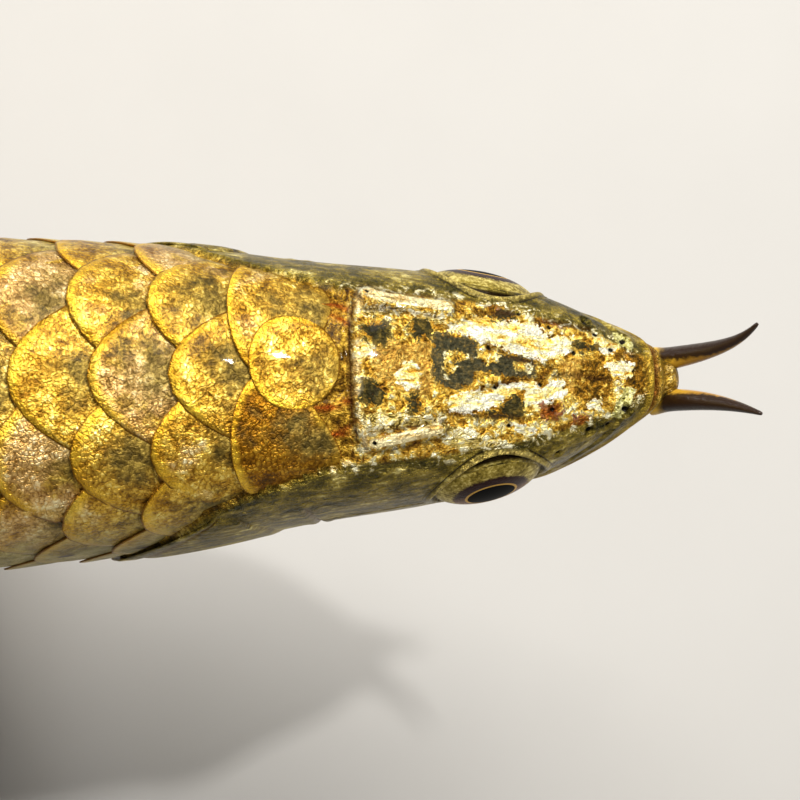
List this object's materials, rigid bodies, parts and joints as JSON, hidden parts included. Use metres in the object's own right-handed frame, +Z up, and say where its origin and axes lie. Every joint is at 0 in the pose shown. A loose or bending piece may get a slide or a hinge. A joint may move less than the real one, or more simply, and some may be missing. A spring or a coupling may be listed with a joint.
{
  "type": "asian arowana display model",
  "caption": "Life-size still model of a golden asian arowana, a long fish with large scales and two chin barbels, held level on a flat stand by rods.",
  "frame": {"origin": "centre of the underside of the stand's base", "axes": "+X towards the fish's snout, +Y to the fish's left, +Z up"},
  "size_m": [0.4127, 0.0944, 0.1645],
  "materials": {
    "head_skin": "wet glossy skin and bone plates, gold with dark olive marks",
    "scales": "large wet scales, gold rims over olive and pinkish beige grain",
    "fin": "thin amber brown membrane over darker jointed rays",
    "eye": "clear wet ball, dark pupil, golden olive iris",
    "barbel": "smooth wet skin, brown black with amber edges",
    "stand_base": "dark stained board with a satin lacquer",
    "stand_rod": "brushed stainless rod"
  },
  "bodies": {
    "root": {"head": "head_skin", "lower_jaw": "head_skin", "gill_cover_left": "head_skin", "gill_cover_right": "head_skin", "torso": "scales", "tail": "scales", "eye_left": "eye", "eye_right": "eye", "barbel_left": "barbel", "barbel_right": "barbel", "stand_base": "stand_base", "stand_rod_front": "stand_rod", "stand_rod_back": "stand_rod", "dorsal_fin": "fin", "anal_fin": "fin", "caudal_fin": "fin", "pectoral_fin_left": "fin", "pectoral_fin_right": "fin", "pelvic_fin_left": "fin", "pelvic_fin_right": "fin"}
  },
  "joints": []
}
